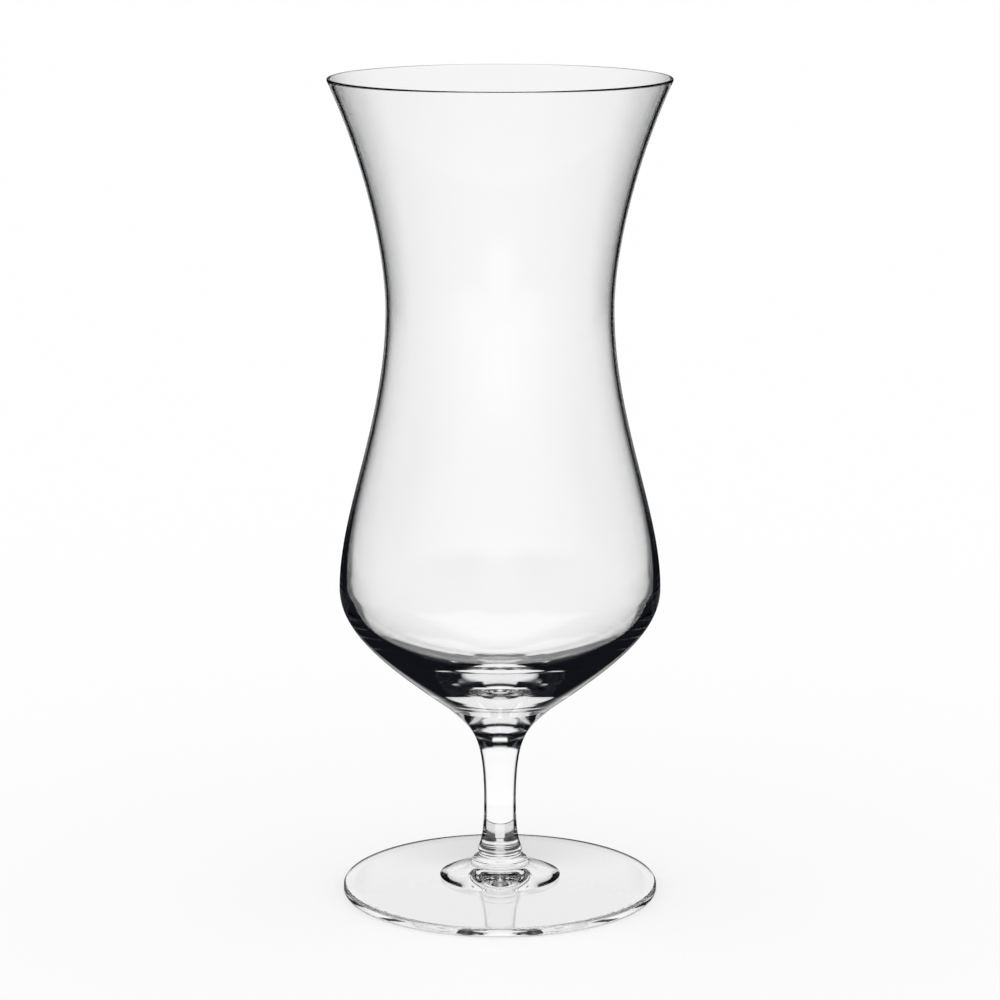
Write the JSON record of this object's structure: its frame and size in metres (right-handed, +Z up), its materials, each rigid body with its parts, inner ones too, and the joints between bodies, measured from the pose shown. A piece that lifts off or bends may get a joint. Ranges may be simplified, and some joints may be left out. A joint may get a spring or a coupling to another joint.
{
  "type": "hurricane glass",
  "caption": "Clear stemmed hurricane glass: hourglass bowl with flared rim and heavy base, short solid stem, round foot; holds a long mixed drink.",
  "frame": {"origin": "centre of the ring under the foot, on the table", "axes": "+Z up along the axis of the glass, from the foot to the rim; +X and +Y are any two directions across it, because the glass is turned about +Z"},
  "size_m": [0.082, 0.082, 0.2],
  "materials": {
    "bowl_glass": "clear, fire-polished",
    "stem_glass": "clear, fire-polished",
    "foot_glass": "clear, fire-polished"
  },
  "bodies": {
    "root": {"bowl": "bowl_glass", "stem": "stem_glass", "foot": "foot_glass"}
  },
  "joints": []
}
